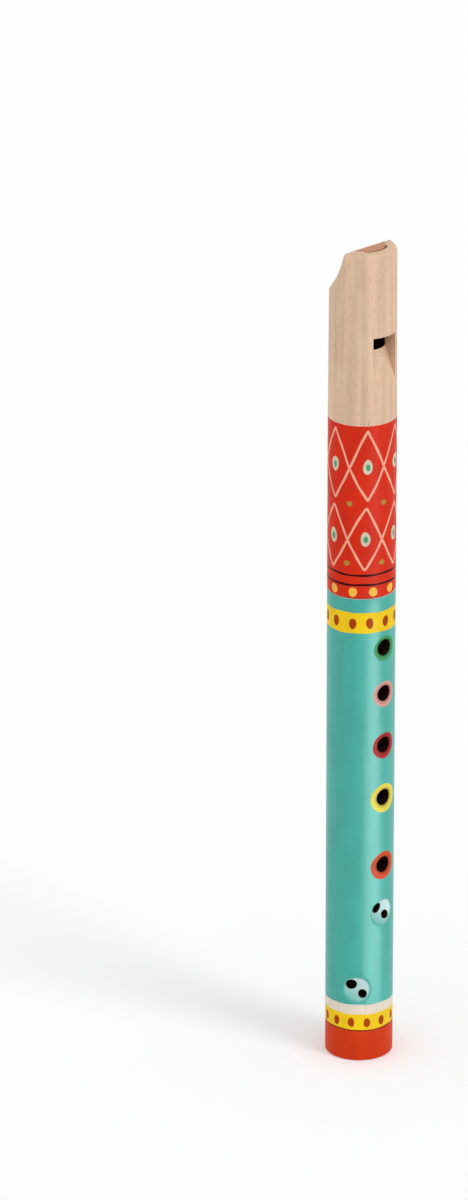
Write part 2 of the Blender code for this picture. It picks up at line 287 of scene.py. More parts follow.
COLOURS = {
    "beech": ("Beech", "Bare, waxed beech of the head", (219, 184, 153)),
    "turquoise": ("Turquoise", "Main paint of the body", (56, 170, 157)),
    "red": ("Red", "Head's painted lower part", (216, 46, 20)),
    "dark_red": ("Dark stripes", "Two narrow stripes on the head", (40, 2, 4)),
    "yellow": ("Yellow", "Bands at both ends of the body", (248, 206, 26)),
    "cream": ("Cream", "Ring above the lower yellow band", (234, 221, 204)),
    "foot_red": ("Foot red", "Lowest band of the body", (212, 60, 20)),
    "rim_brown": ("Rim brown", "Thin line over the foot's red", (118, 40, 14)),
    "peach": ("Peach", "Lines of the lattice", (252, 174, 148)),
    "oval_pale": ("Pale oval", "Large oval in each lozenge", (214, 205, 180)),
    "oval_green": ("Green oval", "Small oval in each lozenge", (72, 158, 112)),
    "olive": ("Olive gold", "Dots between the lozenges", (176, 140, 58)),
    "amber": ("Amber", "Dots in the head's lowest strip", (250, 190, 72)),
    "russet": ("Russet", "Ovals on the yellow bands", (172, 66, 0)),
    "green": ("Green ring", "Ring of hole 1", (70, 160, 100)),
    "pink": ("Pink ring", "Ring of hole 2", (226, 160, 150)),
    "crimson": ("Crimson ring", "Ring of hole 3", (178, 48, 50)),
    "lemon": ("Lemon ring", "Ring of hole 4", (232, 218, 84)),
    "orange": ("Orange ring", "Ring of hole 5", (212, 82, 44)),
    # Painted shade: a dark colour for the shadowed bare wood inside the holes and the bores
    "stained": ("Painted bore shade", "Dark stain of the holes and the body's bore", (44, 28, 22)),
    # A pale painted highlight in the twin holes' glossy dishes
    "dish": ("Dish highlight", "Pale painted highlight in the dishes of the twin holes", (206, 232, 232)),
}


class RecorderColours(bpy.types.PropertyGroup):
    """Colours of the wood and the paints."""


for key, (label, about, shade) in COLOURS.items():
    RecorderColours.__annotations__[key] = bpy.props.FloatVectorProperty(
        name=label, description=about, subtype="COLOR", min=0.0, max=1.0, default=linear(*shade)
    )


class RecorderSizes(bpy.types.PropertyGroup):
    """Sizes of the painted ornament."""

    line_width: bpy.props.FloatProperty(
        name="Lattice line", description="Width of a lattice line", default=0.92 * MM, unit="LENGTH"
    )
    dot_width: bpy.props.FloatProperty(
        name="Amber dot", description="Width of a dot at the seam", default=3.3 * MM, unit="LENGTH"
    )
    paint_rise: bpy.props.FloatProperty(
        name="Paint height", description="How far painted marks stand up", default=PAINT_RISE, unit="LENGTH"
    )


def sizes():
    return bpy.context.scene.recorder_sizes


def add_object(name, data):
    """A new object in the scene."""
    made = bpy.data.objects.new(name, data)
    bpy.context.scene.collection.objects.link(made)
    return made


# Shapes


def polar(radius, angle, height):
    """Points x = r sin a, y = -r cos a: angle 0 is the front, and turns towards +X."""
    return np.stack(np.broadcast_arrays(radius * np.sin(angle), -radius * np.cos(angle), height), -1)


def eased(start, corner, end, steps):
    """Rows that turn a corner on a quarter ellipse.

    P(s) = ((1-s)^2 A + sqrt(2) s(1-s) B + s^2 C) / ((1-s)^2 + sqrt(2) s(1-s) + s^2).
    """
    s = np.linspace(0, 1, steps + 1)[:, None, None]
    weights = (1 - s) ** 2, math.sqrt(2) * s * (1 - s), s**2
    return (weights[0] * start + weights[1] * corner + weights[2] * end) / sum(weights)


def blended(start, end, steps):
    """Rows P(s) = (1-s) A + s B at even steps."""
    return start + np.linspace(0, 1, steps + 1)[:, None, None] * (end - start)


def quarter(radius_to, height_to, size, start, end, steps=4):
    """Radii and heights of an arc about (radius_to, height_to), angles in degrees."""
    angle = np.radians(np.linspace(start, end, steps + 1))
    return radius_to + size * np.cos(angle), height_to + size * np.sin(angle)


def heights_through(stops, fine_spans=()):
    """Heights that pass every stop, close together inside the fine spans."""
    stops = np.unique(np.round(stops, 7))
    parts = []
    for low, high in zip(stops, stops[1:]):
        inside = any(start < (low + high) / 2 < end for start, end in fine_spans)
        count = math.ceil((high - low) / (FINE_ROW if inside else ROW) - 1e-6)
        parts.append(np.linspace(low, high, count, endpoint=False))
    return np.append(np.concatenate(parts), stops[-1])


def band_tops(bands):
    """Upper edges of painted bands in metres."""
    return [top * MM for _, top in bands]


def band_names(heights, bands):
    """The paint of each row of cells between heights, with bare beech above the last band."""
    names = [name for name, _ in bands] + ["beech"]
    return [names[i] for i in np.searchsorted(band_tops(bands), (heights[1:] + heights[:-1]) / 2)]


class Skin:
    """A closed surface put together from grids of points whose edges meet, in one finish or several."""

    def __init__(self, *finishes):
        self.finishes = finishes
        self.points, self.faces, self.slots, self.count = [], [], [], 0

    def sheet(self, grid, finish=None, keep=True):
        """Add a (rows, columns) grid as quads, in one finish, in a list of one per row, or in the first."""
        rows, columns = grid.shape[0] - 1, grid.shape[1] - 1
        corner = self.count + np.arange(rows)[:, None] * (columns + 1) + np.arange(columns)
        quads = np.stack([corner, corner + 1, corner + columns + 2, corner + columns + 1], -1)
        keep = np.broadcast_to(keep, (rows, columns))
        names = finish if isinstance(finish, list) else [finish or self.finishes[0]] * rows
        slots = np.array([self.finishes.index(name) for name in names])[:, None]
        self.add(grid, quads[keep].tolist(), np.broadcast_to(slots, (rows, columns))[keep].tolist())

    def closed(self, top, under, rows=(0, -1), columns=()):
        """A top and an underside, with walls between them along the rows and columns given."""
        self.sheet(top)
        self.sheet(under)
        for row in rows:
            self.sheet(np.stack([top[row], under[row]]))
        for column in columns:
            self.sheet(np.stack([top[:, column], under[:, column]]))

    def fringe(self, fine, coarse, finish):
        """Five-sided faces between a ring of points and one with half as many."""
        k = np.arange(len(coarse) - 1)
        inner = self.count + len(fine)
        outer = self.count + 2 * k
        faces = np.stack([outer, outer + 1, outer + 2, inner + k + 1, inner + k], -1)
        self.add(np.concatenate([fine, coarse]), faces.tolist(), [self.finishes.index(finish)] * len(k))

    def add(self, points, faces, slots):
        """Take in points, faces that count from the skin's first point, and each face's finish."""
        points = np.reshape(points, (-1, 3))
        self.points.append(points)
        self.faces += faces
        self.slots += slots
        self.count += len(points)

    def waver(self, bands):
        """Upper edges of paint drawn by hand, on the outside only, at angle a round the tube.

        z + size e^(-((z - edge) / reach)^2) (sin(3a + edge) + sin(8a + 5 edge)), edge in millimetres.
        """
        points = np.concatenate(self.points)
        angle = np.arctan2(points[:, 0], -points[:, 1])
        outside = np.hypot(points[:, 0], points[:, 1]) > TUBE - PAINT_RISE
        for _, edge in bands:
            near = np.exp(-(((points[:, 2] / MM - edge) / WAVER_REACH) ** 2)) * outside
            points[:, 2] += WAVER * near * (np.sin(3 * angle + edge) + np.sin(8 * angle + 5 * edge))
        self.points = [points]
        return self

    def piece(self, name, body, slot, stands_for=None):
        """The finished object: doubles merged, faces outwards, riding on its body."""
        mesh = bpy.data.meshes.new(name)
        mesh.from_pydata(np.concatenate(self.points).tolist(), [], self.faces)
        for finish in self.finishes:
            mesh.materials.append(finishes()[finish])
        mesh.polygons.foreach_set("material_index", self.slots)
        shape = bmesh.new()
        shape.from_mesh(mesh)
        bmesh.ops.remove_doubles(shape, verts=shape.verts, dist=WELD)
        bmesh.ops.delete(shape, geom=[v for v in shape.verts if not v.link_faces], context="VERTS")
        bmesh.ops.recalc_face_normals(shape, faces=shape.faces)
        open_edges = sum(not edge.is_manifold for edge in shape.edges)
        shape.to_mesh(mesh)
        shape.free()
        if open_edges:
            raise RuntimeError(f"{name} has {open_edges} open edges")
        mesh.shade_smooth()
        mesh.set_sharp_from_angle(angle=EDGE_ANGLE)
        piece = add_object(name, mesh)
        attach(piece, body)
        if stands_for:
            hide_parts(stands_for)


# Body joint


def bore_radius(height):
    """The body's bore, which narrows evenly towards the foot."""
    return BORE_ENDS[0] + (BORE_ENDS[1] - BORE_ENDS[0]) * height / TENON_TOP


class Hole:
    """A hole of the body, and the window of the outer grid and of the bore's grid that it is cut in."""

    def __init__(self, degrees, height, radius, reach, columns=HOLE_COLUMNS, side=0, rim="turquoise"):
        self.turn = math.radians(degrees)
        self.height = height * MM
        self.middle = np.array((side * TWIN_SHIFT, -side * TWIN_DROP))
        self.radius = radius * MM
        self.dished = side != 0
        self.edge = TWIN_EDGE if self.dished else HOLE_EDGE
        self.undercut = 0.0 if self.dished else UNDERCUT
        self.rim = rim
        self.rows = (self.height - reach, self.height + reach)
        column = 2 * round(self.turn / COLUMN / 2)
        self.outer = [column + edge - FIRST_COLUMN for edge in columns]
        self.inner = [column // 2 + edge - FIRST_COLUMN // 2 for edge in columns]


def body_holes():
    """Every hole of the body: the finger holes, the thumb hole and the two pairs of twins."""
    holes = [Hole(0.0, height, radius, FINGER_REACH, rim=rim) for height, radius, rim, _ in FINGER_HOLES]
    holes.append(Hole(180.0, *THUMB_HOLE, THUMB_REACH))
    for height, degrees in TWIN_HOLES:
        holes += [Hole(degrees, height, radius, TWIN_REACH, columns, side) for side, radius, columns in TWINS]
    return holes


def dish_depth(u, w):
    """Distance from the axis of the dish's hollow, u across and w up from its middle.

    v = v0 - c sqrt(1 - (u/a)^2 - (w/b)^2), an ellipsoid that leaves the tube at the dish's edge.
    """
    depth = TUBE - math.sqrt(TUBE**2 - (DISH_WIDTH / 2) ** 2) + DISH_HOLLOW
    across = DISH_WIDTH / 2 / math.sqrt(1 - (1 - DISH_HOLLOW / DISH_ROUND) ** 2)
    upwards = DISH_HEIGHT / 2 / math.sqrt(1 - (1 - depth / DISH_ROUND) ** 2)
    inside = np.clip(1 - (u / across) ** 2 - (w / upwards) ** 2, 0, 1)
    return TUBE - depth + DISH_ROUND * (1 - np.sqrt(inside))


def pierce(skin, hole, outer, bore, rows):
    """Carry the outside in through a hole to the bore: two flat patches, an eased rim and a ruled wall."""
    side = np.array((math.cos(hole.turn), math.sin(hole.turn), 0.0))
    out = np.array((math.sin(hole.turn), -math.cos(hole.turn), 0.0))

    def border(grid, columns):
        """Places, across and up, of the points round a window of the grid, from its lower left corner."""
        (i, k), (j, m) = rows, columns
        loop = [grid[i, j:m], grid[i:k, m], grid[k, m:j:-1], grid[k:i:-1, j], grid[i, j : j + 1]]
        points = np.concatenate(loop)
        return np.stack([points @ side, points[:, 2] - hole.height], -1)

    def placed(uw, depth):
        u, w = uw[..., 0], uw[..., 1]
        up = (w + hole.height)[..., None] * (0, 0, 1)
        return u[..., None] * side + depth(u, w)[..., None] * out + up

    def over(u, w):
        """Distance from the axis of the tube, or of the lower of tube and dish, eased where they meet."""
        tube = np.sqrt(TUBE**2 - u**2)
        if not hole.dished:
            return tube
        dish = dish_depth(u, w)
        near = np.clip(DISH_EASE - np.abs(tube - dish), 0, None) / DISH_EASE
        return np.minimum(tube, dish) - near**3 * DISH_EASE / 6

    def under(u, w):
        return np.sqrt(bore_radius(hole.height + w) ** 2 - u**2)

    outside = border(outer, hole.outer)
    inside = border(bore, hole.inner)
    away = outside - hole.middle
    away /= np.linalg.norm(away, axis=1)[:, None]

    def circle(radius):
        return hole.middle + radius * away

    brim = circle(hole.radius + hole.edge)
    spread = circle(hole.radius + hole.undercut * (TUBE - bore_radius(hole.height)))
    skin.sheet(placed(blended(outside, brim, OUTER_STEPS), over), "turquoise")
    corner = placed(circle(hole.radius), over)
    exit_rim = placed(spread, under)
    inwards = exit_rim - corner
    end = corner + inwards * hole.edge / np.linalg.norm(inwards, axis=1)[:, None]
    skin.sheet(eased(placed(brim, over), corner, end, RIM_STEPS), hole.rim)
    # The hole's wall and the bore beside it are dark with painted shade
    skin.sheet(blended(end, exit_rim, DEPTH_STEPS), "stained")
    skin.sheet(placed(blended(spread, inside, INNER_STEPS), under), "stained")


def body_skin():
    """The body joint: r(z) turned about the axis, pierced by each hole and lined by the bore."""
    holes = body_holes()
    spans = [hole.rows for hole in holes]
    stops = [FOOT_ROUNDING, BODY_TOP - SEAM_ROUNDING, *(edge for span in spans for edge in span)]
    rows = heights_through(stops + band_tops(BODY_BANDS[:-2]), spans)
    around = COLUMN * (FIRST_COLUMN + np.arange(COLUMNS + 1))
    outer = polar(TUBE, around, rows[:, None])
    bore = polar(bore_radius(rows)[:, None], around[::2], rows[:, None])
    painted = {name for name, _ in BODY_BANDS} | {hole.rim for hole in holes}
    skin = Skin("beech", "stained", *sorted(painted))
    keep_outer = np.ones((len(rows) - 1, COLUMNS), bool)
    keep_bore = np.ones((len(rows) - 1, COLUMNS // 2), bool)
    for hole in holes:
        low, high = np.searchsorted(rows, np.array(hole.rows) - 1e-7)
        keep_outer[low:high, slice(*hole.outer)] = False
        keep_bore[low:high, slice(*hole.inner)] = False
        pierce(skin, hole, outer, bore, (low, high))
    skin.sheet(outer, band_names(rows, BODY_BANDS), keep_outer)
    # The bore is dark with painted shade
    skin.sheet(bore, "stained", keep_bore)

    foot = quarter(TUBE - FOOT_ROUNDING, FOOT_ROUNDING, FOOT_ROUNDING, -90, 0)
    seam = quarter(TUBE - SEAM_ROUNDING, BODY_TOP - SEAM_ROUNDING, SEAM_ROUNDING, 0, 90)
    radii = [seam[0][-1], TENON, TENON, GROOVE, GROOVE, TENON, TENON, TENON - TENON_CHAMFER]
    climb = [seam[1][-1], BODY_TOP, GROOVE_ENDS[0], *GROOVE_ENDS, GROOVE_ENDS[1]]
    climb += [TENON_TOP - TENON_CHAMFER, TENON_TOP]
    for radius, height, finish in (
        (*foot, "foot_red"),
        (*seam, ["turquoise", "turquoise", "cream", "cream"]),
        (radii, climb, "beech"),
        ([bore_radius(0) + BORE_CHAMFER, bore_radius(BORE_CHAMFER)], [0.0, BORE_CHAMFER], "beech"),
        # The bore's ends, dark with painted shade
        (bore_radius(np.array([BORE_CHAMFER, rows[0]])), [BORE_CHAMFER, rows[0]], "stained"),
        (bore_radius(np.array([rows[-1], TENON_TOP])), [rows[-1], TENON_TOP], "stained"),
    ):
        angles = around[::2] if radius[0] < GROOVE else around
        skin.sheet(polar(np.array(radius)[:, None], angles, np.array(height)[:, None]), finish)
    for wide, narrow, height, finish in (
        (TUBE - FOOT_ROUNDING, bore_radius(0) + BORE_CHAMFER, 0.0, "foot_red"),
        (TENON - TENON_CHAMFER, bore_radius(TENON_TOP), TENON_TOP, "beech"),
    ):
        skin.fringe(polar(wide, around, height), polar(narrow, around[::2], height), finish)
    return skin.waver(BODY_BANDS[:-2])


def cork_skin():
    """The cork: a closed (radius, height) profile turned about the axis, its outer edges rounded."""
    inner = GROOVE + CORK_GAP
    low, high = GROOVE_ENDS[0] + CORK_GAP, GROOVE_ENDS[1] - CORK_GAP
    edge = quarter(TENON + CORK_PROUD - CORK_ROUNDING, high - CORK_ROUNDING, CORK_ROUNDING, 90, 0)
    profile = [(inner, low), (inner, high), *zip(*edge)]
    profile += [(r, low + high - z) for r, z in profile[:1:-1]]
    radius, height = np.array([*profile, profile[0]]).T[:, :, None]
    skin = Skin("cork")
    skin.sheet(polar(radius, np.linspace(0, 2 * math.pi, CORK_COLUMNS + 1), height))
    return skin


# Head joint


def head_angles(radius):
    """Angle of each column at a radius.

    Front columns keep x, so sin a = x / r. Side columns run from there to the crest, where
    cos a = -y / r, and draw together as 1-(1-b)^1.5. Back columns spread from it as c^1.6.
    """
    radius = np.asarray(radius)[..., None]
    front = np.arcsin(np.linspace(-WINDOW_HALF, WINDOW_HALF, WINDOW_COLUMNS + 1) / radius)
    crest = np.arccos(-CREST / radius)
    share = 1 - (1 - np.linspace(0, 1, SIDE_COLUMNS + 1)[1:]) ** 1.5
    side = front[..., -1:] + (crest - front[..., -1:]) * share
    half = np.linspace(0, 1, BACK_COLUMNS // 2 + 1)[1:] ** 1.6
    back = crest + (math.pi - crest) * half
    mirrored = 2 * math.pi - np.concatenate([side, back[..., :-1]], -1)[..., ::-1]
    return np.concatenate([front, side, back, mirrored, front[..., :1] + 2 * math.pi], -1)


def column_angles(radii):
    """Angle of each column at that column's own radius: the diagonal of all columns at all radii."""
    return np.diagonal(head_angles(radii), axis1=-2, axis2=-1)


def head_rows(radii, heights, part=slice(None)):
    """Points on a part of the head's columns, with one radius and height for each row."""
    radii, heights = np.broadcast_arrays(radii, heights)
    return polar(radii[:, None], head_angles(radii), heights[:, None])[:, part]


def head_radius(height):
    """The head's outside, which tapers from the end of the paint to the tip."""
    share = (height - BARE_FROM) / (HEIGHT - TIP_ROUNDING - BARE_FROM)
    return TUBE - TIP_TAPER * np.clip(share, 0, 1)


def ramp_radius(height):
    """The ramp is a cone: its radius grows evenly from the labium down to the tube."""
    share = (LABIUM - height) / (LABIUM - RAMP_FOOT)
    return LABIUM_RADIUS + (head_radius(RAMP_FOOT) - LABIUM_RADIUS) * share


def roof_radius(height):
    """The windway's roof: flared at its exit, then rising slightly to the tip."""
    heights = (WINDOW_TOP, WINDOW_TOP + ROOF_FLARE, HEIGHT)
    return np.interp(height, heights, (ROOF_FLARED, ROOF_EXIT, ROOF_ENTRY))


def slot_side(radii, heights, side):
    """Points of a slot's flat side, x = half its width, y = -sqrt(r^2 - x^2)."""
    x = side * WINDOW_HALF
    return np.stack(np.broadcast_arrays(x, -np.sqrt(radii**2 - x**2), heights[:, None]), -1)


def beak_outline():
    """(y, z) of the beak's outline: a small round at the tip, a long hollow arc, and a round at the heel."""
    heel = HEIGHT - BEAK_CUT_LENGTH
    chord = np.array((TIP_RADIUS - CREST, heel - HEIGHT))
    away = np.array((-chord[1], chord[0])) / np.linalg.norm(chord)
    centre = np.array((CREST, HEIGHT)) + chord / 2
    centre += away * math.sqrt(BEAK_ARC**2 - (np.linalg.norm(chord) / 2) ** 2)
    tip_z = HEIGHT - BEAK_TIP_EDGE
    tip_y = centre[0] - math.sqrt((BEAK_ARC + BEAK_TIP_EDGE) ** 2 - (tip_z - centre[1]) ** 2)
    heel_y = TIP_RADIUS - BEAK_HEEL_EDGE
    heel_z = centre[1] - math.sqrt((BEAK_ARC + BEAK_HEEL_EDGE) ** 2 - (heel_y - centre[0]) ** 2)
    to_tip = math.degrees(math.atan2(tip_z - centre[1], tip_y - centre[0])) % 360
    to_heel = math.degrees(math.atan2(heel_z - centre[1], heel_y - centre[0])) % 360
    parts = (
        quarter(tip_y, tip_z, BEAK_TIP_EDGE, 90, to_tip - 180, BEAK_STEPS[0]),
        quarter(*centre, BEAK_ARC, to_tip, to_heel, BEAK_STEPS[1]),
        quarter(heel_y, heel_z, BEAK_HEEL_EDGE, to_heel - 180, 0, BEAK_STEPS[2]),
    )
    return np.concatenate([np.array(part) for part in parts], axis=1)


BEAK_Y, BEAK_Z = beak_outline()


def beak_height(y):
    """Height of the top of the head at y: the flat tip, then the hollow cut."""
    return np.interp(y, BEAK_Y, BEAK_Z)


def column_points(radii):
    """One point in each column, on the top of the beak at that column's own radius."""
    angle = column_angles(radii)
    return polar(radii, angle, beak_height(-radii * np.cos(angle)))


def head_skin():
    """The head joint: socket, bore, window with ramp and labium, windway roof, and the beak's cut."""
    skin = Skin("beech", "stained", "red", "dark_red")
    front = slice(0, WINDOW_COLUMNS + 1)
    rest = slice(WINDOW_COLUMNS, None)

    # From the top of the plain bore down to the socket, round the seam and up the painted outside
    low = SEAM + SEAM_ROUNDING
    wall = heights_through([low, RAMP_FOOT, *band_tops(HEAD_BANDS)])[1:]
    seam = quarter(TUBE - SEAM_ROUNDING, low, SEAM_ROUNDING, -90, 0)
    bore = np.linspace(RAMP_FOOT, SOCKET_END, BORE_ROWS)
    socket = [SOCKET, SOCKET, SOCKET + SEAM_ROUNDING]
    radii = np.concatenate([np.full(BORE_ROWS, HEAD_BORE), socket, seam[0], head_radius(wall)])
    heights = np.concatenate([bore, [SOCKET_END, low, SEAM], seam[1], wall])
    bands = band_names(heights, HEAD_BANDS)
    # The head's bore is dark with painted shade; the socket and seam stay bare beech
    bands[: BORE_ROWS + 2] = ["stained"] * (BORE_ROWS - 1) + ["beech"] * 3
    skin.sheet(head_rows(radii, heights), bands)

    # Beside the ramp and the window, outside and in the bore, which is dark with painted shade
    ramp = np.linspace(RAMP_FOOT, LABIUM, RAMP_ROWS)
    window = np.linspace(LABIUM, WINDOW_TOP, WINDOW_ROWS)
    for heights in (ramp, window):
        skin.sheet(head_rows(head_radius(heights), heights, rest))
        skin.sheet(head_rows(HEAD_BORE, heights, rest), "stained")

    # Ramp, the bore behind it dark with painted shade, edge of the labium, and top of the window
    skin.sheet(head_rows(ramp_radius(ramp), ramp, front))
    skin.sheet(head_rows(HEAD_BORE, ramp, front), "stained")
    skin.sheet(head_rows([LABIUM_RADIUS, HEAD_BORE], LABIUM, front))
    skin.sheet(head_rows(np.linspace(ROOF_FLARED, head_radius(WINDOW_TOP), WALL_STEPS), WINDOW_TOP, front))

    # Windway: roof, and rows that are close together at the roof's flare
    rise = np.append(0.0, np.linspace(ROOF_FLARE / (HEIGHT - WINDOW_TOP), 1, WINDWAY_ROWS))
    windway = WINDOW_TOP + rise * (HEIGHT - WINDOW_TOP)
    roof = roof_radius(windway)
    skin.sheet(head_rows(roof, windway, front))

    # Flat sides of the ramp, the window and the windway, in steps that fit where they meet
    lip = np.linspace(LABIUM_RADIUS, ROOF_FLARED, LIP_STEPS)
    upper = np.append(lip, np.linspace(ROOF_FLARED, head_radius(LABIUM), WALL_STEPS)[1:])
    share = (upper - LABIUM_RADIUS) / (upper[-1] - LABIUM_RADIUS)
    cone = ramp_radius(ramp)[:, None]
    beside_ramp = cone + (head_radius(ramp)[:, None] - cone) * share
    narrow = np.append(HEAD_BORE, lip)
    outwards = np.linspace(ROOF_FLARED, head_radius(window), WALL_STEPS)[1:].T
    beside_window = np.concatenate([np.tile(narrow, (WINDOW_ROWS, 1)), outwards], axis=1)
    roof_share = (narrow - HEAD_BORE) / (ROOF_FLARED - HEAD_BORE)
    beside_windway = HEAD_BORE + (roof[:, None] - HEAD_BORE) * roof_share
    for side in (-1, 1):
        skin.sheet(slot_side(beside_ramp, ramp, side))
        skin.sheet(slot_side(beside_window, window, side))
        skin.sheet(slot_side(beside_windway, windway, side))

    # Bore of the beak, whose top differs from column to column
    bore_angles = head_angles(HEAD_BORE)
    bore_top = beak_height(-HEAD_BORE * np.cos(bore_angles))
    heights = WINDOW_TOP + rise[:, None] * (bore_top - WINDOW_TOP)
    skin.sheet(polar(HEAD_BORE, bore_angles, heights)[:, rest])

    # Its outside, up to the brow where it meets the top, found in a few steps because the head tapers
    brow = np.full(bore_top.shape, TIP_RADIUS)
    for _ in range(3):
        brow_angles = column_angles(brow)
        brow_height = beak_height(-brow * np.cos(brow_angles))
        brow = head_radius(brow_height)
    from_front = np.abs((brow_angles + math.pi) % (2 * math.pi) - math.pi)
    fade = np.clip((from_front - np.arccos(-CREST / TIP_RADIUS) - FADE_START) / FADE_ANGLE, 0, 1)
    soft = TIP_ROUNDING + (BEAK_SIDE_EDGE - TIP_ROUNDING) * fade**2 * (3 - 2 * fade)
    climb = np.linspace(0, 1, BEAK_ROWS)[:, None] ** 0.9
    heights = WINDOW_TOP + climb * (brow_height - soft - WINDOW_TOP)
    radii = head_radius(heights)
    outside = polar(radii, column_angles(radii), heights)
    skin.sheet(outside)

    # Its top: the softened edge, the rim in to the windway's entry, and on to the bore
    skin.sheet(eased(outside[-1], column_points(brow), column_points(brow - soft), TOP_STEPS[0]))
    rim = np.linspace(brow - soft, np.full_like(brow, ROOF_ENTRY), TOP_STEPS[1] + 1)
    skin.sheet(column_points(rim))
    entry = HEAD_BORE + (ROOF_ENTRY - HEAD_BORE) * roof_share
    skin.sheet(column_points(np.tile(entry[:, None], (1, len(brow))))[:, rest])
    return skin.waver(HEAD_BANDS[:-1])


def block_skin():
    """The block: a plug of radius r, its top flush with the beak. Points are x = s sqrt(r^2 - y^2)."""
    around = -BLOCK_RADIUS * np.cos(np.linspace(0, math.pi, BLOCK_DEPTH))
    y = np.union1d(around, BEAK_Y[(BEAK_Y > -BLOCK_RADIUS) & (BEAK_Y < BLOCK_RADIUS)])[:, None]
    half = np.sqrt(np.clip(BLOCK_RADIUS**2 - y**2, 0, None))
    across = np.linspace(-1, 1, BLOCK_ACROSS) * half
    top = np.stack(np.broadcast_arrays(across, y, beak_height(y)), -1)
    bottom = top * (1, 1, 0) + (0, 0, WINDOW_TOP)
    skin = Skin("cedar")
    skin.closed(top, bottom, rows=())
    for edge in (0, -1):
        skin.sheet(blended(bottom[:, edge], top[:, edge], BLOCK_UP - 1))
    return skin


# Painted marks


def mark(u, w, angle, height, rise):
    """Points of a mark on the tube, u across and w up from its middle."""
    return polar(TUBE + rise, angle + u / TUBE, height + w)


def wave(rng, phase):
    """A sine wave that starts anywhere in its turn."""
    return np.sin(phase + rng.uniform(0, 6.3))


def uneven(rng, t, waves):
    """A hand-drawn edge's reach at angle t: 1 + a sin(m t) + b sin(n t), each sine starting anywhere."""
    return sum((size * wave(rng, count * t) for count, size in waves), 1.0)


def dab(skin, angle, height, half_width, half_height, rng, lift=1.0):
    """One brushed oval: r = rise (1 - p^4) over (u, w) = p (a cos t, b sin t), its edge a little uneven."""
    t = np.linspace(0, 2 * math.pi, OVAL_GRID[0])
    p = np.linspace(0, OVERDRAWN, OVAL_GRID[1])[:, None]
    edge = uneven(rng, t, OVAL_WAVES)
    u, w = p * half_width * edge * np.cos(t), p * half_height * edge * np.sin(t)
    top = mark(u, w, angle, height, sizes().paint_rise * lift * (1 - p**4))
    skin.closed(top, mark(u, w, angle, height, PAINT_SUNK), rows=(-1,))


def stroke(skin, start, end, bow, width, rng):
    """One brush line between two (angle, height) points.

    The profile r = rise (1 - q^4) runs along a path that bows by sin(pi s), sways a little and ends round.
    """
    start = np.array(start) + rng.uniform(-1, 1, 2) * END_STRAY / (TUBE, 1.0)
    end = np.array(end) + rng.uniform(-1, 1, 2) * END_STRAY / (TUBE, 1.0)
    s = np.linspace(0, 1, LINE_GRID[0])[:, None]
    along = (end - start) * (TUBE, 1.0)
    length = np.linalg.norm(along)
    across = np.array((-along[1], along[0])) / length
    sway = bow * np.sin(math.pi * s) + SWAY * wave(rng, 9 * s)
    taper = np.clip(np.minimum(s, 1 - s) * length / (ROUNDED_OFF * width) + BLUNT_END, 0, 1) ** 0.5
    half = width / 2 * taper * (1 + SWELL * wave(rng, 11 * s))
    q = np.linspace(-OVERDRAWN, OVERDRAWN, LINE_GRID[1])
    u, w = (s * along[i] + (sway + q * half) * across[i] for i in (0, 1))
    top = mark(u, w, *start, sizes().paint_rise * (1 - q**4) * taper)
    skin.closed(top, mark(u, w, *start, PAINT_SUNK), columns=(0, -1))


def ring(skin, hole, outer_radius, rng):
    """A ring round a finger hole, where q runs from the hole's rim to an uneven outer edge.

    (u, w) = q shift + reach (cos t, sin t), with reach growing evenly in q, and the paint's height is
    rise (1 - q^6), less q^6 times as much as paint stands proud, so that the edge dips under the tube.
    """
    t = np.linspace(0, 2 * math.pi, RING_GRID[0])
    q = np.linspace(0, 1, RING_GRID[1])[:, None]
    inner = hole.radius + hole.edge - RING_OVERLAP
    reach = inner + q * (outer_radius * uneven(rng, t, RING_WAVES) - inner)
    u, w = q * RING_SHIFT[0] + reach * np.cos(t), q * RING_SHIFT[1] + reach * np.sin(t)
    depth = np.sqrt(TUBE**2 - u**2)

    def risen(rise):
        return np.stack([u * (depth + rise) / depth, -depth - rise, hole.height + w], -1)

    skin.closed(risen(sizes().paint_rise * (1 - q**6) - PAINT_RISE * q**6), risen(PAINT_SUNK))


# Finishes


def feed(tree, node, values):
    """Set a node's inputs to plain values, or link them to other nodes' outputs."""
    for key, value in values.items():
        if isinstance(value, bpy.types.NodeSocket):
            tree.links.new(value, node.inputs[key])
        else:
            node.inputs[key].default_value = value


def add_node(tree, kind, values=None, **settings):
    """A new shader node with its settings and inputs."""
    made = tree.nodes.new("ShaderNode" + kind)
    for key, value in settings.items():
        setattr(made, key, value)
    feed(tree, made, values or {})
    return made


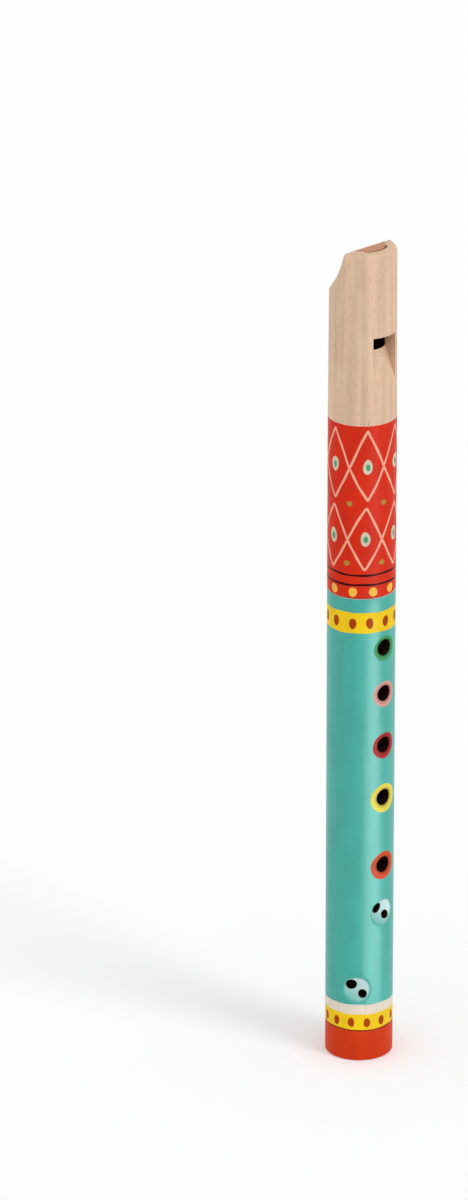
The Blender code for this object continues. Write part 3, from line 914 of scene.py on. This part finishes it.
class Recipe:
    """A Principled material and short calls for its nodes."""

    def __init__(self, name, roughness, specular=0.5, coat=0.0, coat_roughness=0.1):
        self.made = bpy.data.materials.new(name)
        self.made.use_nodes = True
        self.tree = self.made.node_tree
        self.shader = self.tree.nodes["Principled BSDF"]
        values = {"Roughness": roughness, "Specular IOR Level": specular}
        values |= {"Coat Weight": coat, "Coat Roughness": coat_roughness}
        feed(self.tree, self.shader, values)
        self.place = self.node("TexCoord").outputs["Object"]

    def node(self, kind, values=None, **settings):
        """A new node of this material."""
        return add_node(self.tree, kind, values, **settings)

    def noise(self, across, along, detail=2.0, roughness=0.5, shift=0.0):
        """Noise whose cells measure 1/across metres across the grain and 1/along metres along it."""
        values = {"Vector": self.place, "Scale": (across, across, along), "Location": (shift, shift, shift)}
        mapped = self.node("Mapping", values).outputs[0]
        values = {"Vector": mapped, "Scale": 1.0, "Detail": detail, "Roughness": roughness}
        return self.node("TexNoise", values).outputs["Fac"]

    def levels(self, factor, low, high):
        """Factor stretched so that low becomes 0 and high becomes 1."""
        values = {"Value": factor, "From Min": low, "From Max": high}
        return self.node("MapRange", values, interpolation_type="SMOOTHSTEP").outputs["Result"]

    def patches(self, low, high, *noise, **settings):
        """Levels of a noise."""
        return self.levels(self.noise(*noise, **settings), low, high)

    def scaled(self, factor, amount):
        """Factor times amount."""
        return self.node("Math", {0: factor, 1: amount}, operation="MULTIPLY").outputs[0]

    def mixed(self, factor, first, second, share=1.0):
        """First, which may be another node's colour, with a share of second where factor is high."""
        first = first if isinstance(first, bpy.types.NodeSocket) else (*first, 1.0)
        factor = factor if share == 1.0 else self.scaled(factor, share)
        return self.node("Mix", {0: factor, 6: first, 7: (*second, 1.0)}, data_type="RGBA").outputs[2]

    def bump(self, height, distance, strength, under=None):
        """A normal that follows height, over another bump if there is one."""
        values = {"Height": height, "Distance": distance, "Strength": strength}
        if under is not None:
            values["Normal"] = under
        return self.node("Bump", values).outputs[0]

    def painted_light_share(self, painted_light):
        """Share of the colour of a spot of painted light: 0 at its outer radius, 1 at its inner one, and less
        at its low side.
        """
        middle, towards = painted_light.middle, painted_light.towards
        reach = self.node("VectorMath", {0: self.place, 1: middle}, operation="DISTANCE").outputs["Value"]
        along = self.node("VectorMath", {0: self.place, 1: towards}, operation="DOT_PRODUCT").outputs["Value"]
        level = sum(a * b for a, b in zip(middle, towards))
        values = {"Value": along, "From Min": level - painted_light.outer, "From Max": level + painted_light.outer}
        values |= {"To Min": painted_light.low, "To Max": painted_light.high}
        share = self.node("MapRange", values).outputs["Result"]
        return self.scaled(self.levels(reach, painted_light.outer, painted_light.inner), share)

    def done(self, colour, normal):
        """The material, with its colour and normal."""
        feed(self.tree, self.shader, {"Base Color": colour, "Normal": normal})
        return self.made


# A spot of painted light: in a dish a painted highlight, on a ring near its hole painted shade
PaintedLight = namedtuple("PaintedLight", "middle outer inner towards low high colour")


def painted_light_at(degrees, height, outer, inner, low, high, colour):
    """A spot of painted light on the tube, in millimetres, stronger towards its upper right, seen from the
    front.
    """
    turn = math.radians(degrees)
    middle = tuple(polar(TUBE, turn, height * MM))
    towards = (0.6 * math.cos(turn), 0.6 * math.sin(turn), 0.8)
    return PaintedLight(middle, outer * MM, inner * MM, towards, low, high, colour)


def tinted(colour, amount):
    """A colour lighter or darker by a share."""
    return tuple(min(1.0, value * (1 + amount)) for value in colour)


def wood_finish(name, colour, fleck, streak, contrast):
    """Bare wood with its grain along Z: soft streaks, fine pores and short dark flecks."""
    recipe = Recipe(name, roughness=0.5, specular=0.3, coat=0.08, coat_roughness=0.3)
    streaks = recipe.patches(0.3, 0.7, 420.0, 14.0, 3.0)
    base = recipe.mixed(streaks, tinted(colour, -contrast), tinted(colour, contrast * 0.6))
    base = recipe.mixed(recipe.patches(0.35, 0.7, 90.0, 40.0, shift=5.0), base, streak, 0.5)
    pores = recipe.noise(3200.0, 420.0, shift=3.0)
    base = recipe.mixed(recipe.levels(pores, 0.6, 0.72), base, fleck, 0.55)
    normal = recipe.bump(recipe.noise(5200.0, 300.0, shift=9.0), 0.03 * MM, 0.6)
    return recipe.done(base, recipe.bump(pores, 0.03 * MM, 0.5, normal))


def paint_finish(name, colour, roughness, specular, painted_lights=()):
    """Brushed enamel over turned wood: faint clouds of tone, a gentle sheen, and grain that shows through.

    Each spot is painted light, a painted highlight or painted shade: it fades out with the distance from its
    middle, and grows along a direction.
    """
    recipe = Recipe(name, roughness, specular)
    clouds = recipe.patches(0.3, 0.7, 150.0, 60.0, 3.0)
    base = recipe.mixed(clouds, tinted(colour, -0.07), tinted(colour, 0.06))
    brushed = recipe.patches(0.35, 0.75, 700.0, 45.0, shift=4.0)
    base = recipe.mixed(brushed, base, tinted(colour, -0.14), 0.35)
    for painted_light in painted_lights:
        base = recipe.mixed(recipe.painted_light_share(painted_light), base, painted_light.colour)
    grain = recipe.bump(recipe.noise(1500.0, 70.0, 3.0, 0.6, shift=7.0), 0.05 * MM, 0.5)
    fine = recipe.noise(2600.0, 2600.0, 1.0, shift=2.0)
    return recipe.done(base, recipe.bump(fine, 0.008 * MM, 0.5, grain))


def cedar_finish():
    """Cedar with its grain along the block: red-brown, with darker growth lines across X."""
    recipe = Recipe("cedar", roughness=0.6)
    values = {"Vector": recipe.place, "Scale": (1.0, 1.0, 0.04), "Rotation": (0.0, 0.0, 0.3)}
    mapped = recipe.node("Mapping", values).outputs[0]
    values = {"Vector": mapped, "Scale": 260.0, "Distortion": 1.2, "Detail": 1.0}
    rings = recipe.node("TexWave", values, bands_direction="X").outputs["Fac"]
    base = recipe.mixed(recipe.levels(rings, 0.2, 0.9), linear(206, 150, 112), linear(164, 104, 70))
    base = recipe.mixed(recipe.noise(120.0, 12.0), base, linear(224, 170, 132), 0.4)
    pores = recipe.noise(3400.0, 300.0)
    base = recipe.mixed(recipe.levels(pores, 0.6, 0.75), base, linear(120, 70, 44), 0.5)
    return recipe.done(base, recipe.bump(pores, 0.03 * MM, 0.6))


def cork_finish():
    """Cork: packed granules of several browns with dark gaps."""
    recipe = Recipe("cork", roughness=0.85)
    cells = recipe.node("TexVoronoi", {"Vector": recipe.place, "Scale": 900.0})
    gaps = recipe.node("TexVoronoi", {"Vector": recipe.place, "Scale": 900.0}, feature="DISTANCE_TO_EDGE")
    tone = recipe.node("RGBToBW", {0: cells.outputs["Color"]}).outputs[0]
    base = recipe.mixed(recipe.levels(tone, 0.1, 0.9), linear(150, 108, 72), linear(208, 166, 118))
    base = recipe.mixed(recipe.patches(0.6, 0.68, 1400.0, 1400.0), base, linear(84, 52, 32), 0.7)
    edge = recipe.levels(gaps.outputs["Distance"], 0.0, 0.12)
    return recipe.done(base, recipe.bump(edge, 0.05 * MM, 0.7))


MADE = {}


def finishes():
    """Every finish by name, made once and shared."""
    if MADE:
        return MADE
    colours = bpy.context.scene.recorder_colours
    beech = tuple(colours.beech)
    MADE["beech"] = wood_finish("beech", beech, linear(160, 118, 86), linear(232, 202, 172), 0.13)
    MADE["cedar"] = cedar_finish()
    MADE["cork"] = cork_finish()
    ring_heights = {rim: height for height, _, rim, _ in FINGER_HOLES}
    for key in list(COLOURS)[1:]:
        colour, painted_lights, gloss = tuple(getattr(colours, key)), [], MATT_PAINT
        if key == "turquoise":
            # The twin holes' dishes get a pale painted highlight, stronger at their upper side
            dish, gloss = tuple(colours.dish), ENAMEL
            painted_lights = [painted_light_at(turn, height, *DISH_HIGHLIGHT, dish) for height, turn in TWIN_HOLES]
        elif key in ring_heights:
            # Each finger-hole ring gets painted shade, darker near its hole
            painted_lights = [painted_light_at(0.0, ring_heights[key], *RING_SHADE_SPOT, tinted(colour, RING_SHADE))]
        MADE[key] = paint_finish(key + "_paint", colour, *gloss, painted_lights)
    return MADE


# Operators


class RECORDER_OT_body(bpy.types.Operator):
    """Turn the body joint, pierce its holes, hollow its dishes and paint its bands."""

    bl_idname = "recorder.body"
    bl_label = "Body joint"

    def execute(self, context):
        body_skin().piece("body_tube", "body", "turquoise_paint", "body_joint")
        return {"FINISHED"}


class RECORDER_OT_head(bpy.types.Operator):
    """Turn the head joint, cut its window, ramp, windway and beak, and plug it with the block."""

    bl_idname = "recorder.head"
    bl_label = "Head joint and block"

    def execute(self, context):
        head_skin().piece("head_tube", "head", "beech", "head_joint")
        block_skin().piece("cedar_block", "head", "cedar", "block")
        return {"FINISHED"}


class RECORDER_OT_cork(bpy.types.Operator):
    """Lap the cork into the tenon's groove."""

    bl_idname = "recorder.cork"
    bl_label = "Tenon cork"

    def execute(self, context):
        cork_skin().piece("cork_lap", "cork", "cork", "tenon_cork")
        return {"FINISHED"}


class RECORDER_OT_lattice(bpy.types.Operator):
    """Paint the lattice of lozenges with its ovals and dots on the red of the head."""

    bl_idname = "recorder.lattice"
    bl_label = "Lattice"

    def execute(self, context):
        rng = np.random.default_rng(7)
        lines, ovals, hearts, dots = Skin("peach"), Skin("oval_pale"), Skin("oval_green"), Skin("olive")
        turn = 2 * math.pi / LOZENGES
        for corners, between in zip(LATTICE, OLIVE_HEIGHTS):
            top, side, bottom = ((math.radians(degrees), height * MM) for degrees, height in corners)
            for k in range(LOZENGES):
                head, right, foot = ((angle + k * turn, height) for angle, height in (top, side, bottom))
                left = (right[0] - turn, right[1])
                sides = (head, left, -1), (head, right, 1), (left, foot, -1), (right, foot, 1)
                for start, end, bow in sides:
                    stroke(lines, start, end, bow * LATTICE_BOW, sizes().line_width, rng)
                angle, height = (head[0] + foot[0]) / 2, right[1] + OVAL_ABOVE_SIDE
                dab(ovals, angle, height, *PALE_OVAL, rng)
                dab(hearts, angle + GREEN_TURN, height - GREEN_DROP, *GREEN_OVAL, rng, SECOND_COAT)
                stray = rng.uniform(-OLIVE_STRAY, OLIVE_STRAY)
                dab(dots, right[0] + stray, between, *OLIVE_DOT, rng)
        lines.piece("lattice", "head", "turquoise_paint")
        ovals.piece("lattice_ovals", "head", "turquoise_paint")
        hearts.piece("lattice_hearts", "head", "turquoise_paint")
        dots.piece("lattice_dots", "head", "turquoise_paint")
        return {"FINISHED"}


class RECORDER_OT_bands(bpy.types.Operator):
    """Paint the dots and ovals in the bands."""

    bl_idname = "recorder.bands"
    bl_label = "Dots and ovals of the bands"

    def execute(self, context):
        rng = np.random.default_rng(11)
        dots, ovals = Skin("amber"), Skin("russet")
        half = sizes().dot_width / 2
        count, first, height = AMBER_DOTS
        for k in range(count):
            at = math.radians(first + 360 / count * k + rng.uniform(-DOT_STRAY, DOT_STRAY))
            dab(dots, at, height * MM, half, DOT_TALLER * half, rng)
        turn, climb = OVAL_STRAY
        for count, first, height, wide, high in BAND_OVALS:
            for k in range(count):
                at = math.radians(first + 360 / count * k + rng.uniform(-turn, turn))
                dab(ovals, at, (height + rng.uniform(-climb, climb)) * MM, wide * MM, high * MM, rng)
        dots.piece("seam_dots", "head", "turquoise_paint")
        ovals.piece("band_ovals", "body", "turquoise_paint")
        return {"FINISHED"}


class RECORDER_OT_rings(bpy.types.Operator):
    """Paint a ring round each finger hole."""

    bl_idname = "recorder.rings"
    bl_label = "Rings of the finger holes"

    def execute(self, context):
        rng = np.random.default_rng(5)
        for hole, (_, _, colour, radius) in zip(body_holes(), FINGER_HOLES):
            skin = Skin(colour)
            ring(skin, hole, radius * MM, rng)
            skin.piece(f"ring_{colour}", "body", "turquoise_paint")
        return {"FINISHED"}


# The photograph's frame, and where the recorder stands in it, in its pixels
PHOTO_SIZE = (468, 1200)
PHOTO_CENTRE = (361.0, 653.0)
PHOTO_SPAN = 817.0
CAMERA_AZIMUTH = math.radians(-43.0)
CAMERA_ELEVATION = math.radians(22.0)
CAMERA_DISTANCE = 3.2
SENSOR = 36.0

# A pale floor that glows a little to the camera
FLOOR_HALF = 6.0
FLOOR_COLOUR = (0.93, 0.93, 0.93, 1.0)
FLOOR_GLOW = 0.16
WHITE = (1.0, 1.0, 1.0, 1.0)

# The room is lighter on this side of the recorder, away from the key light, and darker opposite
LIGHT_SIDE = (-0.97, -0.26, 0.0)
ROOM_LEVELS = (0.54, 0.88)
KEY_FROM = (0.16, -0.92, 0.78)
KEY_LEVEL = 0.85
KEY_SPREAD = math.radians(22.0)

# An ellipse of light lies on the floor before the foot, as wide and long as twice its halves, and shines
# upwards. Only reflections show it, and it runs up the glossy tube as one soft band.
POOL_FROM = Vector((0.0, -0.45, 0.012))
POOL_AIM = Vector((0.0, 0.03, 1.0))
POOL_HALVES = (0.12, 0.4)
POOL_LEVEL = 5.5


class RECORDER_OT_stage(bpy.types.Operator):
    """Set the pale floor, the soft light and the camera."""

    bl_idname = "recorder.stage"
    bl_label = "Floor, light and camera"

    def execute(self, context):
        place_floor()
        light_room()
        add_lamp("key", "SUN", KEY_FROM, (0.0, 0.0, 0.0), energy=KEY_LEVEL, angle=KEY_SPREAD)
        across, along = POOL_HALVES
        settings = {"shape": "ELLIPSE", "size": 2 * across, "size_y": 2 * along}
        settings["energy"] = POOL_LEVEL * math.pi**2 * across * along
        pool = add_lamp("pool", "AREA", POOL_FROM, POOL_FROM + POOL_AIM, **settings)
        pool.visible_diffuse = False
        context.scene.view_settings.view_transform = "Standard"
        place_camera()
        return {"FINISHED"}


def seen_itself(tree):
    """1 for rays that show the background itself: to the camera, in a reflection or through glass."""
    rays = add_node(tree, "LightPath").outputs
    seen = rays["Is Camera Ray"]
    for name in ("Is Glossy Ray", "Is Transmission Ray"):
        seen = add_node(tree, "Math", {0: seen, 1: rays[name]}, operation="MAXIMUM").outputs[0]
    return seen


def place_floor():
    """A square of floor about the foot."""
    mesh = bpy.data.meshes.new("floor")
    signs = ((-1, -1), (1, -1), (1, 1), (-1, 1))
    mesh.from_pydata([(x * FLOOR_HALF, y * FLOOR_HALF, 0) for x, y in signs], [], [(0, 1, 2, 3)])
    pale = Recipe("pale_floor", roughness=0.9)
    glow = pale.scaled(seen_itself(pale.tree), FLOOR_GLOW)
    values = {"Base Color": FLOOR_COLOUR, "Emission Color": WHITE, "Emission Strength": glow}
    feed(pale.tree, pale.shader, values)
    mesh.materials.append(pale.made)
    floor = add_object("floor", mesh)


def light_room():
    """A room whose light grows evenly from its dark side to its light one, and which shows as white."""
    world = bpy.data.worlds.new("soft_room")
    bpy.context.scene.world = world
    world.use_nodes = True
    tree = world.node_tree
    towards = add_node(tree, "TexCoord").outputs["Generated"]
    values = {0: towards, 1: LIGHT_SIDE}
    facing = add_node(tree, "VectorMath", values, operation="DOT_PRODUCT").outputs["Value"]
    values = {"Value": facing, "From Min": -1.0, "From Max": 1.0}
    values |= {"To Min": ROOM_LEVELS[0], "To Max": ROOM_LEVELS[1]}
    level = add_node(tree, "MapRange", values).outputs[0]
    white = add_node(tree, "Math", {0: level, 1: seen_itself(tree)}, operation="MAXIMUM").outputs[0]
    feed(tree, tree.nodes["Background"], {"Color": WHITE, "Strength": white})


def add_aimed(name, data, place, turn):
    """A lamp or camera at a place, turned."""
    made = add_object(name, data)
    made.location = place
    made.rotation_mode = "QUATERNION"
    made.rotation_quaternion = turn
    return made


def add_lamp(name, kind, place, aim, **settings):
    """A lamp at a place, shining towards another, and hidden from the camera."""
    lamp = bpy.data.lights.new(name, kind)
    for key, value in settings.items():
        setattr(lamp, key, value)
    turn = (Vector(place) - Vector(aim)).to_track_quat("Z", "Y")
    made = add_aimed(name, lamp, place, turn)
    made.visible_camera = False
    return made


def place_camera():
    """A long lens at the photograph's angle, aimed beside the recorder so that it stands to the right."""
    back = Vector(polar(math.cos(CAMERA_ELEVATION), CAMERA_AZIMUTH, math.sin(CAMERA_ELEVATION)))
    turn = back.to_track_quat("Z", "Y")
    seen = HEIGHT * math.cos(CAMERA_ELEVATION) + CAD_BOX[1].x * math.sin(CAMERA_ELEVATION)
    pixel = seen / PHOTO_SPAN
    aim = (CAD_BOX[0] + CAD_BOX[1]) / 2
    aim -= turn @ Vector((1.0, 0.0, 0.0)) * (PHOTO_CENTRE[0] - PHOTO_SIZE[0] / 2) * pixel
    aim += turn @ Vector((0.0, 1.0, 0.0)) * (PHOTO_CENTRE[1] - PHOTO_SIZE[1] / 2) * pixel
    lens = bpy.data.cameras.new("camera")
    lens.sensor_width = SENSOR
    lens.lens = SENSOR * CAMERA_DISTANCE / (PHOTO_SIZE[1] * pixel)
    lens.clip_end = 100.0
    bpy.context.scene.camera = add_aimed("camera", lens, aim + back * CAMERA_DISTANCE, turn)


OPERATORS = (
    RECORDER_OT_body,
    RECORDER_OT_head,
    RECORDER_OT_cork,
    RECORDER_OT_lattice,
    RECORDER_OT_bands,
    RECORDER_OT_rings,
    RECORDER_OT_stage,
)


class RECORDER_PT_panel(bpy.types.Panel):
    """The recorder's pieces, sizes and colours."""

    bl_idname = "RECORDER_PT_panel"
    bl_label = "Recorder"
    bl_space_type = "VIEW_3D"
    bl_region_type = "UI"
    bl_category = "Recorder"

    def draw(self, context):
        for each in OPERATORS:
            self.layout.operator(each.bl_idname)
        for group in (context.scene.recorder_sizes, context.scene.recorder_colours):
            for key in group.__annotations__:
                self.layout.prop(group, key)


CLASSES = (RecorderColours, RecorderSizes, *OPERATORS, RECORDER_PT_panel)


def register():
    for each in CLASSES:
        bpy.utils.register_class(each)
    bpy.types.Scene.recorder_colours = bpy.props.PointerProperty(type=RecorderColours)
    bpy.types.Scene.recorder_sizes = bpy.props.PointerProperty(type=RecorderSizes)


def unregister():
    del bpy.types.Scene.recorder_sizes
    del bpy.types.Scene.recorder_colours
    for each in reversed(CLASSES):
        bpy.utils.unregister_class(each)


def main():
    register()
    bpy.ops.recorder.body()
    bpy.ops.recorder.head()
    bpy.ops.recorder.cork()
    bpy.ops.recorder.lattice()
    bpy.ops.recorder.bands()
    bpy.ops.recorder.rings()
    bpy.ops.recorder.stage()


if __name__ == "__main__":
    main()
